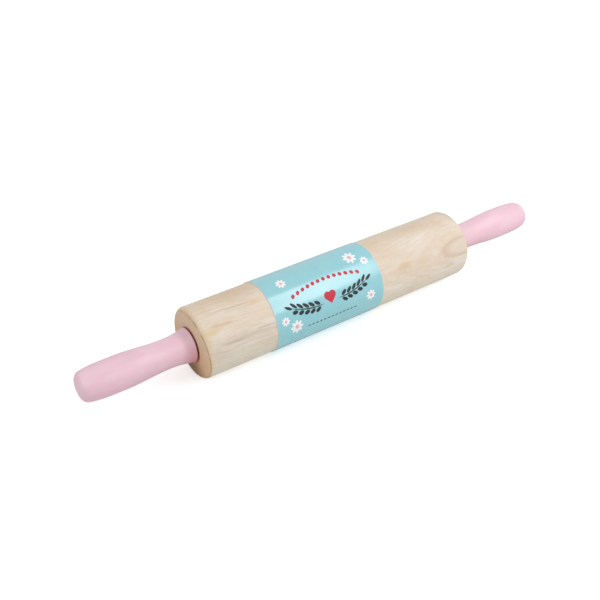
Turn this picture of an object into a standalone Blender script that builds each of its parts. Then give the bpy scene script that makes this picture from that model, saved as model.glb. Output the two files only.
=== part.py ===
"""A wooden rolling pin: a beech barrel that turns between two painted grips.

A steel rod joins the grips and runs through the barrel in two flanged nylon
bushes, with a thrust washer at each end. A printed card band is wrapped round
the barrel and pulls off over either grip. The pin lies along X on its band,
and stands on z = 0. Every turned piece is drawn about its own Z axis, as on a
lathe, and is laid along X by the empties that carry it. Sizes are in metres.
"""

from math import cos, pi, radians, sin, tan

import bmesh
import bpy

# Barrel
BARREL_DIAMETER = 0.056
BARREL_LENGTH = 0.250
BARREL_EDGE_RADIUS = 0.004
BARREL_BORE_MARGIN = 0.0012
BARREL_MOUTH_CHAMFER = 0.0005

# Rod that joins the two grips
ROD_DIAMETER = 0.008
ROD_END_CHAMFER = 0.0008
ROD_END_GAP = 0.0005
ROD_GROOVE_DEPTH = 0.0004
ROD_GROOVE_WIDTH = 0.0015
ROD_GROOVE_PITCH = 0.006
ROD_GROOVE_COUNT = 3
ROD_FIRST_GROOVE = 0.008

# Flanged bush in each end of the barrel
BUSH_BODY_LENGTH = 0.018
BUSH_WALL = 0.0025
BUSH_FLANGE_WIDTH = 0.004
BUSH_FLANGE_THICKNESS = 0.0015
BUSH_CHAMFER = 0.0005

# Thrust washer between each bush and its grip
WASHER_THICKNESS = 0.001
WASHER_EDGE_BREAK = 0.0002

# Grips
GRIP_LENGTH = 0.0866
GRIP_RIM_DIAMETER = 0.027
GRIP_RIM_ROUNDING = 0.001
GRIP_WAIST_DIAMETER = 0.0223
GRIP_BELLY_DIAMETER = 0.0261
GRIP_CORNER_RADIUS = 0.006
GRIP_SHOULDER_ANGLE = radians(11.5)
GRIP_DOME_ANGLE = radians(15)
GRIP_END_WALL = 0.028
GRIP_MOUTH_CHAMFER = 0.0006
DRILL_POINT_ANGLE = radians(118)
GRIP_TAPER_POWER = 4
GRIP_WAIST_PLACE_SHARE = 0.225
GRIP_BELLY_PLACE_SHARE = 0.635
CORNER_LIMIT_SHARE = 0.6

# Card band round the barrel
BAND_LENGTH = 0.099
BAND_OFFSET = -0.017
BAND_THICKNESS = 0.0004
BAND_LAP = 0.012
BAND_GLUE_LINE = 0.0001
BAND_LAP_DIRECTION = radians(60)
BAND_RAMP_FLATS = 2

# Clearances
FIT_GAP = 0.0003
RUNNING_GAP = 0.0002
END_PLAY = 0.0003
RIM_TO_BARREL_GAP = 0.0009

# Roundness, as the number of flats in a full turn and the steps of each curve
BARREL_FLATS = 64
GRIP_FLATS = 48
BUSH_FLATS = 32
ROD_FLATS = 24
ROUNDING_STEPS = 3
EDGE_STEPS = 5
NECK_STEPS = 6
WAIST_STEPS = 6
BELLY_STEPS = 5
CORNER_STEPS = 5
DOME_STEPS = 2
SHARP_ANGLE = radians(30)
MERGE_DISTANCE = 0.000001

# Sizes that follow from those above
barrel_radius = BARREL_DIAMETER / 2
barrel_half = BARREL_LENGTH / 2
rod_radius = ROD_DIAMETER / 2
bush_bore_radius = rod_radius + RUNNING_GAP
bush_body_radius = bush_bore_radius + BUSH_WALL
bush_flange_radius = bush_body_radius + BUSH_FLANGE_WIDTH
barrel_bore_radius = rod_radius + BARREL_BORE_MARGIN
band_inner_radius = barrel_radius + FIT_GAP
band_outer_radius = band_inner_radius + BAND_THICKNESS
axis_height = band_outer_radius * cos(pi / BARREL_FLATS)

# Places along the pin, measured from the middle of the barrel
rim_place = barrel_half + RIM_TO_BARREL_GAP
washer_outer_place = rim_place - END_PLAY
washer_inner_place = washer_outer_place - WASHER_THICKNESS
bush_face_place = washer_inner_place - END_PLAY
bush_shoulder_place = bush_face_place - BUSH_FLANGE_THICKNESS
bush_nose_place = bush_shoulder_place - BUSH_BODY_LENGTH
grip_bore_depth = GRIP_LENGTH - GRIP_END_WALL
rod_half = rim_place + grip_bore_depth - ROD_END_GAP


def clear_scene():
    """Start from an empty scene."""
    for old in list(bpy.data.objects):
        bpy.data.objects.remove(old, do_unlink=True)


def finish(name, colour, roughness, metallic=0.0):
    """A plain material in the piece's own colour, given as linear RGB."""
    material = bpy.data.materials.new(name)
    material.use_nodes = True
    shader = material.node_tree.nodes["Principled BSDF"]
    shader.inputs["Base Color"].default_value = (*colour, 1.0)
    shader.inputs["Roughness"].default_value = roughness
    shader.inputs["Metallic"].default_value = metallic
    material.diffuse_color = (*colour, 1.0)
    return material


def arc(centre_r, centre_z, radius, start, end, steps):
    """Points along a round stretch of an outline, as (radius, height) pairs."""
    angles = [start + (end - start) * step / steps for step in range(steps + 1)]
    return [(centre_r + radius * cos(a), centre_z + radius * sin(a)) for a in angles]


def mesh_from(shape, name, material):
    """Close a bmesh shape, point its faces outwards and shade it as turned work."""
    bmesh.ops.remove_doubles(shape, verts=shape.verts, dist=MERGE_DISTANCE)
    bmesh.ops.recalc_face_normals(shape, faces=shape.faces)
    mesh = bpy.data.meshes.new(name)
    shape.to_mesh(mesh)
    shape.free()
    mesh.shade_smooth()
    mesh.set_sharp_from_angle(angle=SHARP_ANGLE)
    mesh.materials.append(material)
    return mesh


def turned(name, outline, flats, material, on_axis=False):
    """Spin an outline of (radius, height) points about Z.

    The outline is a closed loop, or runs from the axis back to the axis where
    on_axis is true. It starts half a flat round, so that a flat faces +X.
    """
    shape = bmesh.new()
    half_flat = pi / flats
    points = [(r * cos(half_flat), r * sin(half_flat), z) for r, z in outline]
    corners = [shape.verts.new(point) for point in points]
    sides = [shape.edges.new(pair) for pair in zip(corners, corners[1:])]
    if not on_axis:
        sides.append(shape.edges.new((corners[-1], corners[0])))
    bmesh.ops.spin(
        shape,
        geom=corners + sides,
        cent=(0, 0, 0),
        axis=(0, 0, 1),
        angle=2 * pi,
        steps=flats,
        use_merge=True,
    )
    return mesh_from(shape, name, material)


def barrel_end_outline():
    """The outline of the barrel's upper half, from the bore round to the side.

    The end takes the bush's flange and washer in a recess, and the bush's body
    in a counterbore. The through bore clears the rod.
    """
    recess_radius = bush_flange_radius + FIT_GAP
    recess_floor = bush_shoulder_place - FIT_GAP
    seat_radius = bush_body_radius + FIT_GAP
    seat_floor = bush_nose_place - FIT_GAP
    edge_centre_r = barrel_radius - BARREL_EDGE_RADIUS
    edge_centre_z = barrel_half - BARREL_EDGE_RADIUS
    inside = [
        (barrel_bore_radius, seat_floor),
        (seat_radius, seat_floor),
        (seat_radius, recess_floor),
        (recess_radius, recess_floor),
        (recess_radius, barrel_half - BARREL_MOUTH_CHAMFER),
        (recess_radius + BARREL_MOUTH_CHAMFER, barrel_half),
    ]
    edge = arc(edge_centre_r, edge_centre_z, BARREL_EDGE_RADIUS, pi / 2, 0, EDGE_STEPS)
    return inside + edge


def barrel_mesh(material):
    """The beech barrel: both ends are alike, so one half is mirrored."""
    upper = barrel_end_outline()
    lower = [(r, -z) for r, z in reversed(upper)]
    return turned("barrel", upper + lower, BARREL_FLATS, material)


def bush_mesh(material):
    """A flanged nylon bush, with its flange's outer face at z = 0."""
    shoulder = bush_shoulder_place - bush_face_place
    nose = bush_nose_place - bush_face_place
    outline = [
        (bush_bore_radius + BUSH_CHAMFER, 0),
        (bush_flange_radius - BUSH_CHAMFER, 0),
        (bush_flange_radius, -BUSH_CHAMFER),
        (bush_flange_radius, shoulder),
        (bush_body_radius, shoulder),
        (bush_body_radius, nose + BUSH_CHAMFER),
        (bush_body_radius - BUSH_CHAMFER, nose),
        (bush_bore_radius, nose),
        (bush_bore_radius, -BUSH_CHAMFER),
    ]
    return turned("bush", outline, BUSH_FLATS, material)


def washer_mesh(material):
    """A thrust washer as wide as the bush's flange, with its outer face at z = 0."""
    bottom = -WASHER_THICKNESS
    outline = [
        (bush_bore_radius, 0),
        (bush_flange_radius - WASHER_EDGE_BREAK, 0),
        (bush_flange_radius, -WASHER_EDGE_BREAK),
        (bush_flange_radius, bottom + WASHER_EDGE_BREAK),
        (bush_flange_radius - WASHER_EDGE_BREAK, bottom),
        (bush_bore_radius, bottom),
    ]
    return turned("washer", outline, BUSH_FLATS, material)


def rod_end_outline():
    """The rod's upper half: plain, then grooved for glue, then chamfered."""
    points = []
    first = rod_half - ROD_FIRST_GROOVE - (ROD_GROOVE_COUNT - 1) * ROD_GROOVE_PITCH
    bottom_radius = rod_radius - ROD_GROOVE_DEPTH
    for index in range(ROD_GROOVE_COUNT):
        middle = first + index * ROD_GROOVE_PITCH
        low = middle - ROD_GROOVE_WIDTH / 2
        high = middle + ROD_GROOVE_WIDTH / 2
        points += [
            (rod_radius, low),
            (bottom_radius, low + ROD_GROOVE_DEPTH),
            (bottom_radius, high - ROD_GROOVE_DEPTH),
            (rod_radius, high),
        ]
    points += [
        (rod_radius, rod_half - ROD_END_CHAMFER),
        (rod_radius - ROD_END_CHAMFER, rod_half),
        (0, rod_half),
    ]
    return points


def rod_mesh(material):
    """The steel rod on which the barrel turns."""
    upper = rod_end_outline()
    lower = [(r, -z) for r, z in reversed(upper)]
    return turned("axle_rod", lower + upper, ROD_FLATS, material, on_axis=True)


def ease(start, end, share):
    """A smooth step from one radius to the next, level at both ends."""
    return start + (end - start) * share * share * (3 - 2 * share)


def grip_side_outline():
    """The turned side of a grip, from its rim at z = 0 to its domed end.

    The neck flares to the rim, the waist fits the forefinger, the belly fills
    the palm, and a round corner runs into a shallow dome.
    """
    rim_radius = GRIP_RIM_DIAMETER / 2
    waist_radius = GRIP_WAIST_DIAMETER / 2
    belly_radius = GRIP_BELLY_DIAMETER / 2
    waist_place = GRIP_LENGTH * GRIP_WAIST_PLACE_SHARE
    belly_place = GRIP_LENGTH * GRIP_BELLY_PLACE_SHARE
    corner = min(GRIP_CORNER_RADIUS, belly_radius * CORNER_LIMIT_SHARE)
    corner_place = GRIP_LENGTH - corner
    shoulder_place = corner_place + corner * sin(GRIP_SHOULDER_ANGLE)
    taper_length = shoulder_place - belly_place
    taper = taper_length * tan(GRIP_SHOULDER_ANGLE) / GRIP_TAPER_POWER

    points = arc(
        rim_radius - GRIP_RIM_ROUNDING, GRIP_RIM_ROUNDING,
        GRIP_RIM_ROUNDING, -pi / 2, 0, ROUNDING_STEPS,
    )
    neck_length = waist_place - GRIP_RIM_ROUNDING
    for step in range(1, NECK_STEPS + 1):
        share = step / NECK_STEPS
        radius = waist_radius + (rim_radius - waist_radius) * (1 - share) ** 2
        points.append((radius, GRIP_RIM_ROUNDING + neck_length * share))
    for step in range(1, WAIST_STEPS + 1):
        share = step / WAIST_STEPS
        place = waist_place + (belly_place - waist_place) * share
        points.append((ease(waist_radius, belly_radius, share), place))
    for step in range(1, BELLY_STEPS):
        share = step / BELLY_STEPS
        radius = belly_radius - taper * share ** GRIP_TAPER_POWER
        points.append((radius, belly_place + taper_length * share))

    corner_r = belly_radius - taper - corner * cos(GRIP_SHOULDER_ANGLE)
    points += arc(
        corner_r, corner_place, corner,
        GRIP_SHOULDER_ANGLE, pi / 2 - GRIP_DOME_ANGLE, CORNER_STEPS,
    )
    dome_radius, dome_place = points[-1]
    dome_height = dome_radius * tan(GRIP_DOME_ANGLE) / 2
    for step in range(1, DOME_STEPS + 1):
        share = 1 - step / DOME_STEPS
        points.append((dome_radius * share, dome_place + dome_height * (1 - share * share)))
    return points


def grip_mesh(material):
    """A grip: the turned side, and a blind bore drilled from the rim for the rod."""
    bore_radius = rod_radius + FIT_GAP
    drill_point = bore_radius / tan(DRILL_POINT_ANGLE / 2)
    bore = [
        (0, grip_bore_depth + drill_point),
        (bore_radius, grip_bore_depth),
        (bore_radius, GRIP_MOUTH_CHAMFER),
        (bore_radius + GRIP_MOUTH_CHAMFER, 0),
    ]
    return turned("grip", bore + grip_side_outline(), GRIP_FLATS, material, on_axis=True)


def band_mesh(material):
    """The card band: one strip wound once round the barrel, with a glued lap.

    The strip's section is laid flat by flat. Its last stretch ramps up over
    its own first edge, a glue line away, and is then pulled out to its width.
    """
    shape = bmesh.new()
    flat_turn = 2 * pi / BARREL_FLATS
    lap_flats = BAND_LAP / band_outer_radius / flat_turn
    first_flat = round((BAND_LAP_DIRECTION / flat_turn) - lap_flats / 2)
    full_lift = BAND_THICKNESS + BAND_GLUE_LINE
    ramp_start = BARREL_FLATS - BAND_RAMP_FLATS
    low_end = BAND_OFFSET - BAND_LENGTH / 2
    flats_round = [*range(BARREL_FLATS + int(lap_flats) + 1), BARREL_FLATS + lap_flats]
    rungs = []
    for flats in flats_round:
        angle = (first_flat + flats) * flat_turn + flat_turn / 2
        climbed = min(max((flats - ramp_start) / BAND_RAMP_FLATS, 0), 1)
        inner = band_inner_radius + full_lift * climbed
        outer = inner + BAND_THICKNESS
        rungs.append([
            shape.verts.new((radius * cos(angle), radius * sin(angle), low_end))
            for radius in (inner, outer)
        ])
    section = [
        shape.faces.new((first[0], first[1], second[1], second[0]))
        for first, second in zip(rungs, rungs[1:])
    ]
    pulled = bmesh.ops.extrude_face_region(shape, geom=section)
    top = [item for item in pulled["geom"] if isinstance(item, bmesh.types.BMVert)]
    bmesh.ops.translate(shape, verts=top, vec=(0, 0, BAND_LENGTH))
    return mesh_from(shape, "label_sleeve", material)


def axis_empty(name, parent=None):
    """An empty on the pin's axis, with its own Z along the pin."""
    empty = bpy.data.objects.new(name, None)
    bpy.context.collection.objects.link(empty)
    if parent:
        empty.parent = parent
    else:
        empty.location = (0, 0, axis_height)
        empty.rotation_euler = (0, pi / 2, 0)
    return empty


def place(name, mesh, parent, along=0.0, turned_round=False):
    """One named piece on the axis, turned end for end at the near side."""
    piece = bpy.data.objects.new(name, mesh)
    bpy.context.collection.objects.link(piece)
    piece.parent = parent
    piece.location = (0, 0, along)
    if turned_round:
        piece.rotation_euler = (pi, 0, 0)


def place_pair(kind, mesh, parent, along):
    """The same piece at both ends of the pin, facing opposite ways."""
    place("far_" + kind, mesh, parent, along)
    place("near_" + kind, mesh, parent, -along, turned_round=True)


def build():
    """Make every piece and put it on the axis that it turns or slides on."""
    clear_scene()
    beech = finish("beech_wood", (0.71, 0.60, 0.46), 0.55)
    paint = finish("pink_paint", (0.79, 0.56, 0.62), 0.4)
    nylon = finish("white_nylon", (0.80, 0.78, 0.72), 0.4)
    steel = finish("zinc_plated_steel", (0.62, 0.62, 0.60), 0.3, 1.0)
    card = finish("printed_card", (0.30, 0.62, 0.72), 0.45)

    barrel_axis = axis_empty("barrel_axis")
    grip_axis = axis_empty("grip_axis", barrel_axis)
    band_axis = axis_empty("band_axis", barrel_axis)

    place("barrel", barrel_mesh(beech), barrel_axis)
    place_pair("bush", bush_mesh(nylon), barrel_axis, bush_face_place)
    place("axle_rod", rod_mesh(steel), grip_axis)
    place_pair("washer", washer_mesh(steel), grip_axis, washer_outer_place)
    place_pair("handle", grip_mesh(paint), grip_axis, rim_place)
    place("label_sleeve", band_mesh(card), band_axis)


build()
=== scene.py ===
# %% [markdown]
# # A revolving rolling pin
# The pin is a beech barrel between two pink painted grips, with a printed card band
# round the barrel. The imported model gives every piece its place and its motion. This
# script makes the surfaces that are seen: finely turned wood, paint and card. It
# starts by loading that model as a frame, which it never moves.

# %% Load the frame
from math import cos, degrees, pi, radians, sin, tan

import bmesh
import bpy
from mathutils import Matrix, Vector


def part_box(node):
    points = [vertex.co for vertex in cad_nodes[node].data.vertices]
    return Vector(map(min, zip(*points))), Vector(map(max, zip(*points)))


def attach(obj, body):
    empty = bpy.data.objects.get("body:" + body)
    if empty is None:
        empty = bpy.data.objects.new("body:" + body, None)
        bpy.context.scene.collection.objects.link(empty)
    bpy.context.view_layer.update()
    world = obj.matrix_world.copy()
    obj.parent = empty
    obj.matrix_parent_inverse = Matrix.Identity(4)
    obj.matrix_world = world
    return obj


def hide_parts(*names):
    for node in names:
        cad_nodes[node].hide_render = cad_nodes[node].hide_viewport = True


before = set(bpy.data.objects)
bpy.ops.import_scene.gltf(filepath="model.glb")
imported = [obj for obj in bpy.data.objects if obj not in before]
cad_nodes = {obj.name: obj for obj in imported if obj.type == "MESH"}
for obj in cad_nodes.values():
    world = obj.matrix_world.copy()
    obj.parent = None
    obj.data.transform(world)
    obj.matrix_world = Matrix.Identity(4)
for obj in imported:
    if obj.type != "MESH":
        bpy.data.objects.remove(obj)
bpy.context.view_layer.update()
print("pieces in the frame:", sorted(cad_nodes))

# %% [markdown]
# ## Sizes
# All lengths are in metres, unless a name ends in MM. Places are taken from the
# frame's own pieces, so that each new piece sits where its solid does. Radii are
# written again, cell by cell, because a finely turned piece needs the true circle
# and not the flats of the solid.

# %% Sizes
TO_MM = 1000.0
barrel_low, barrel_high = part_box("barrel")
AXIS_HEIGHT = (barrel_low.z + barrel_high.z) / 2
BARREL_HALF = barrel_high.x
BARREL_RADIUS = 0.028
RIM_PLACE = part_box("far_handle")[0].x
print("axis height, mm:", round(AXIS_HEIGHT * TO_MM, 3))
print("barrel length, mm:", round(2 * BARREL_HALF * TO_MM, 1))

# %% [markdown]
# ## The camera
# A turned body gives the camera away. The ellipses at its ends show how far round
# it stands, and the growth from the far end to the near end shows how close it is.
# Here it is a normal lens, 0.7 m off, that looks down at 36 degrees. It points at
# the card band, a little beside the band's own middle.

# %% The camera
PICTURE_PIXELS = 600
FOCAL_PIXELS = 863.6
SENSOR_WIDTH = 36.0
CAMERA_AZIMUTH = radians(-34.3)
CAMERA_ELEVATION = radians(35.7)
CAMERA_PLACE = Vector((-0.33708, -0.45290, 0.42313))

backward = Vector((
    sin(CAMERA_AZIMUTH) * cos(CAMERA_ELEVATION),
    -cos(CAMERA_AZIMUTH) * cos(CAMERA_ELEVATION),
    sin(CAMERA_ELEVATION),
))
right = Vector((cos(CAMERA_AZIMUTH), sin(CAMERA_AZIMUTH), 0))
camera_data = bpy.data.cameras.new("camera")
camera_data.sensor_width = SENSOR_WIDTH
camera_data.lens = FOCAL_PIXELS / PICTURE_PIXELS * SENSOR_WIDTH
camera = bpy.data.objects.new("camera", camera_data)
bpy.context.collection.objects.link(camera)
camera_turn = Matrix((right, backward.cross(right), backward)).transposed().to_4x4()
camera.matrix_world = Matrix.Translation(CAMERA_PLACE) @ camera_turn
bpy.context.scene.camera = camera
print("lens, mm:", round(camera_data.lens, 1))

# %% [markdown]
# ## Colours and nodes
# Colours are picked as sRGB hex values, as on a paint chart. Shaders work in linear
# light, so one function turns a hex value into linear numbers. A second one adds a
# node, sets it and links its inputs in order or by name. A socket that a setting
# switches off is skipped, so the inputs are those that the editor would show. Two
# short names hold the settings that come up most: a smooth step, and a mix of two
# colours. A map range is given a value, the two ends of its run, and what comes out
# at each end.

# %% Helpers for nodes
SMOOTH = {"interpolation_type": "SMOOTHSTEP"}
COLOUR = {"data_type": "RGBA"}


def linear(hex_colour):
    """An sRGB hex colour as linear RGBA."""
    channels = [int(hex_colour[place:place + 2], 16) / 255 for place in (1, 3, 5)]
    return (*[
        value / 12.92 if value <= 0.04045 else ((value + 0.055) / 1.055) ** 2.4
        for value in channels
    ], 1.0)


def add_node(tree, kind, inputs=(), **settings):
    """Add a node with its settings, and give its inputs values or links."""
    node = tree.nodes.new("ShaderNode" + kind)
    for name, value in settings.items():
        setattr(node, name, value)
    shown = [socket for socket in node.inputs if socket.enabled]
    if isinstance(inputs, dict):
        pairs = [
            (next(socket for socket in shown if socket.name == name), value)
            for name, value in inputs.items()
        ]
    else:
        pairs = zip(shown, inputs)
    for socket, value in pairs:
        if isinstance(value, bpy.types.NodeSocket):
            tree.links.new(value, socket)
        else:
            socket.default_value = value
    return next(socket for socket in node.outputs if socket.enabled)


print("a mid grey in linear light:", round(linear("#808080")[0], 3))

# %% [markdown]
# ## What the materials share
# A material starts as a Principled shader with values that are typical of its kind.
# Its patterns are noises with grains of a real size, measured in millimetres from
# the middle of the pin. Few surfaces have one colour, so the colour drifts between
# two tints, and others are laid over it, each by its own share. Last, the shader
# gets its colour, its roughness and a relief, which bends the light and leaves the
# mesh smooth.

# %% Helpers for materials
def new_material(name, roughness, ior=1.5, metallic=0.0, specular=0.5):
    """A material with its tree and its Principled shader."""
    material = bpy.data.materials.new(name)
    material.use_nodes = True
    shader = material.node_tree.nodes["Principled BSDF"]
    for socket_name, value in (
        ("Roughness", roughness), ("IOR", ior), ("Metallic", metallic),
        ("Specular IOR Level", specular),
    ):
        shader.inputs[socket_name].default_value = value
    return material, material.node_tree, shader


def pin_millimetres(tree):
    """Object coordinates in millimetres, measured from the middle of the pin's axis."""
    place = add_node(tree, "TexCoord").node.outputs["Object"]
    return add_node(tree, "Mapping", {
        "Vector": place, "Location": (0, 0, -AXIS_HEIGHT * TO_MM), "Scale": (TO_MM,) * 3,
    })


def stretched_noise(tree, place, sizes_mm, detail=2.0, roughness=0.5):
    """Noise whose grains have about the given size in millimetres along each axis."""
    scales = [1 / size for size in sizes_mm]
    shares = add_node(tree, "VectorMath", (place, scales), operation="MULTIPLY")
    return add_node(tree, "TexNoise", {
        "Vector": shares, "Scale": 1.0, "Detail": detail, "Roughness": roughness,
    })


def drifting(tree, noise, low, high, one, other):
    """A colour that drifts between two tints as a noise goes from low to high."""
    share = add_node(tree, "MapRange", (noise, low, high), **SMOOTH)
    return add_node(tree, "Mix", (share, linear(one), linear(other)), **COLOUR)


def layered(tree, colour, *layers):
    """A colour with others laid over it in turn, each by its share."""
    for share, hue in layers:
        colour = add_node(tree, "Mix", (share, colour, linear(hue)), **COLOUR)
    return colour


def surface(tree, shader, colour, relief, strength, depth, roughness=None, invert=False):
    """Give the shader its colour, its relief and, where it varies, its roughness."""
    bump = add_node(tree, "Bump", {
        "Strength": strength, "Distance": depth, "Height": relief,
    }, invert=invert)
    tree.links.new(bump, shader.inputs["Normal"])
    tree.links.new(colour, shader.inputs["Base Color"])
    if roughness:
        tree.links.new(roughness, shader.inputs["Roughness"])


print("noise is measured up from, mm:", round(AXIS_HEIGHT * TO_MM, 2))

# %% [markdown]
# ## Turning
# Every round piece is half an outline spun about the pin's axis, as a lathe would
# sweep it. The outline is a list of places along the pin and radii. Its corners are
# arcs of many short steps, so that highlights run smoothly over them.

# %% Turn an outline
MERGE_DISTANCE = 1e-6
SHARP_ANGLE = radians(35)


def arc(centre_place, centre_radius, radius, start, end, steps):
    """A round stretch of an outline, with angles from outward (0) to endward."""
    angles = [start + (end - start) * step / steps for step in range(steps + 1)]
    return [
        (centre_place + radius * sin(angle), centre_radius + radius * cos(angle))
        for angle in angles
    ]


def finished(shape, name, *materials):
    """Make a bmesh a named piece, with merged doubles and outward faces."""
    bmesh.ops.remove_doubles(shape, verts=shape.verts, dist=MERGE_DISTANCE)
    bmesh.ops.recalc_face_normals(shape, faces=shape.faces)
    mesh = bpy.data.meshes.new(name)
    shape.to_mesh(mesh)
    shape.free()
    mesh.shade_smooth()
    mesh.set_sharp_from_angle(angle=SHARP_ANGLE)
    for material in materials:
        mesh.materials.append(material)
    piece = bpy.data.objects.new(name, mesh)
    bpy.context.collection.objects.link(piece)
    print(name, "has", len(mesh.polygons), "faces")
    return piece


def turned(name, outline, steps, material, closed=True):
    """Spin an outline of (place, radius) points about the pin's axis."""
    shape = bmesh.new()
    corners = [
        shape.verts.new((place, 0, AXIS_HEIGHT + radius)) for place, radius in outline
    ]
    sides = [shape.edges.new(pair) for pair in zip(corners, corners[1:])]
    if closed:
        sides.append(shape.edges.new((corners[-1], corners[0])))
    bmesh.ops.spin(
        shape, geom=corners + sides, cent=(0, 0, AXIS_HEIGHT), axis=(1, 0, 0),
        angle=2 * pi, steps=steps, use_merge=True,
    )
    return finished(shape, name, material)


print("sharp edges from, degrees:", round(degrees(SHARP_ANGLE)))

# %% [markdown]
# ## How the grain runs
# Beech is a pale, close wood, here turned, fine sanded and left bare, so it has a dry
# and low sheen. No trunk is quite straight. In this barrel the grain twists a little
# at the near end and fans out towards the far end, so its lines run at a slant there.
# Each place is first moved to where it would lie in a straight trunk, and the wood's
# patterns are then drawn in that trunk. The twist is needed twice: by nodes for every
# place on the surface, and in Python for the centres of single marks.

# %% Straighten the grain
TWIST_START_MM = -125.0
TWIST_END_MM = -20.0
TWIST_ANGLE = 0.3
FAN_START_MM = 25.0
FAN_END_MM = 125.0
FAN_SHARE = 0.5
FAN_WAY = (0.0, -sin(radians(25)), -cos(radians(25)))


def untwisted(tree, place, along):
    """A place turned back by the twist that the grain has there."""
    twist = add_node(
        tree, "MapRange", (along, TWIST_START_MM, TWIST_END_MM, TWIST_ANGLE, 0.0))
    return add_node(tree, "VectorRotate", {
        "Vector": place, "Angle": twist,
    }, rotation_type="X_AXIS")


def untwisted_centre(centre_mm):
    """The same turn for one place that is known beforehand."""
    reach = (TWIST_END_MM - centre_mm[0]) / (TWIST_END_MM - TWIST_START_MM)
    angle = TWIST_ANGLE * min(max(reach, 0), 1)
    return Matrix.Rotation(angle, 3, "X") @ Vector(centre_mm)


def straightened(tree, place, along):
    """The place in a straight trunk, with neither twist nor fan."""
    beside = add_node(tree, "VectorMath", (place, FAN_WAY), operation="DOT_PRODUCT")
    fan = add_node(tree, "MapRange", (along, FAN_START_MM, FAN_END_MM, 0.0, -FAN_SHARE))
    inward = add_node(tree, "Math", (beside, fan), operation="MULTIPLY")
    return add_node(tree, "VectorMath", (
        FAN_WAY, inward, untwisted(tree, place, along),
    ), operation="MULTIPLY_ADD")


print("twist at the near end, degrees:", round(degrees(TWIST_ANGLE), 1))

# %% [markdown]
# ## Growth rings
# Growth rings are long cylinders about the pith of the tree, which lies some 60 mm
# from the pin's axis, behind the face that we see. A ring is about 2 mm wide. It
# darkens slowly into late wood and ends at a sharp line. Past the middle the trunk
# bends, so one ring leaves the surface after another and draws a long arch there.
# Rings drawn in three dimensions give the arch, the straight lines beside it and the
# arcs on the end grain alike. A slow noise lets them wander.

# %% The growth rings
RING_WIDTH_MM = 2.1
RING_WANDER_MM = 2.4
WANDER_GRAIN_MM = (70, 16, 16)
PITH_MM = (0.0, 54.4, -25.4)
ARCH_FROM_PITH_MM = 96.6
TRUNK_SLANT = 0.008
BEND_START_MM = 20.0
BEND_END_MM = 110.0
BEND_HEIGHT_MM = 7.0
LATE_WOOD_POWER = 5.0
LATE_WOOD_END = 0.93
ACROSS = (0, 1, 1)


def growth_rings(tree, grain, along):
    """How dark the late wood of a growth ring is at each place, from 0 to 1."""
    from_pith = add_node(tree, "VectorMath", (grain, PITH_MM), operation="SUBTRACT")
    across = add_node(tree, "VectorMath", (from_pith, ACROSS), operation="MULTIPLY")
    distance = add_node(tree, "VectorMath", (across,), operation="LENGTH")
    bend = add_node(tree, "MapRange", (
        along, BEND_START_MM, BEND_END_MM, 0.0, BEND_HEIGHT_MM,
    ), **SMOOTH)
    bent = add_node(tree, "Math", (bend, distance), operation="ADD")
    slanted = add_node(tree, "Math", (along, TRUNK_SLANT, bent), operation="MULTIPLY_ADD")
    wander = stretched_noise(tree, grain, WANDER_GRAIN_MM, detail=3.0)
    wandered = add_node(
        tree, "Math", (wander, RING_WANDER_MM, slanted), operation="MULTIPLY_ADD")
    rings = add_node(tree, "Math", (
        wandered, 1 / RING_WIDTH_MM, -ARCH_FROM_PITH_MM / RING_WIDTH_MM,
    ), operation="MULTIPLY_ADD")
    share = add_node(tree, "Math", (rings,), operation="FRACT")
    rise = add_node(tree, "Math", (share, LATE_WOOD_POWER), operation="POWER")
    fall = add_node(tree, "MapRange", (share, LATE_WOOD_END, 1.0, 1.0, 0.0), **SMOOTH)
    return add_node(tree, "Math", (rise, fall), operation="MULTIPLY")


front_from_pith_mm = Vector(PITH_MM).length + BARREL_RADIUS * TO_MM
print("rings between the pith and the front:", round(front_from_pith_mm / RING_WIDTH_MM))

# %% [markdown]
# ## Fine lines
# A ring's dark line comes and goes along the grain. Between the rings run fibres less
# than a millimetre wide, and cut rays show as fine dark flecks about 2 mm long. Each
# is a noise stretched along the grain. The side, the end grain and the relief all
# read the same lines, so a dark fibre is also one that can be felt.

# %% The fine lines
BREAKS_MM = (34, 5, 5)
FIBRES_MM = (26, 0.8, 0.8)
FLECKS_MM = (2.2, 0.3, 0.3)
RING_STRENGTHS = (0.072, 0.36)
FLECK_STRENGTH = 0.4


def fine_lines(tree, grain, along):
    """Where the rings break off, and the shares of rings, fibres and flecks."""
    breaks = stretched_noise(tree, grain, BREAKS_MM)
    strength = add_node(
        tree, "MapRange", (breaks, 0.38, 0.62, *RING_STRENGTHS), **SMOOTH)
    rings = growth_rings(tree, grain, along)
    ring_share = add_node(tree, "Math", (rings, strength), operation="MULTIPLY")
    fibres = stretched_noise(tree, grain, FIBRES_MM, detail=4.0, roughness=0.6)
    flecks = stretched_noise(tree, grain, FLECKS_MM, detail=1.0)
    fleck_share = add_node(
        tree, "MapRange", (flecks, 0.64, 0.74, 0.0, FLECK_STRENGTH), **SMOOTH)
    return breaks, ring_share, fibres, fleck_share


print("fibres, mm wide:", FIBRES_MM[1])
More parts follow.
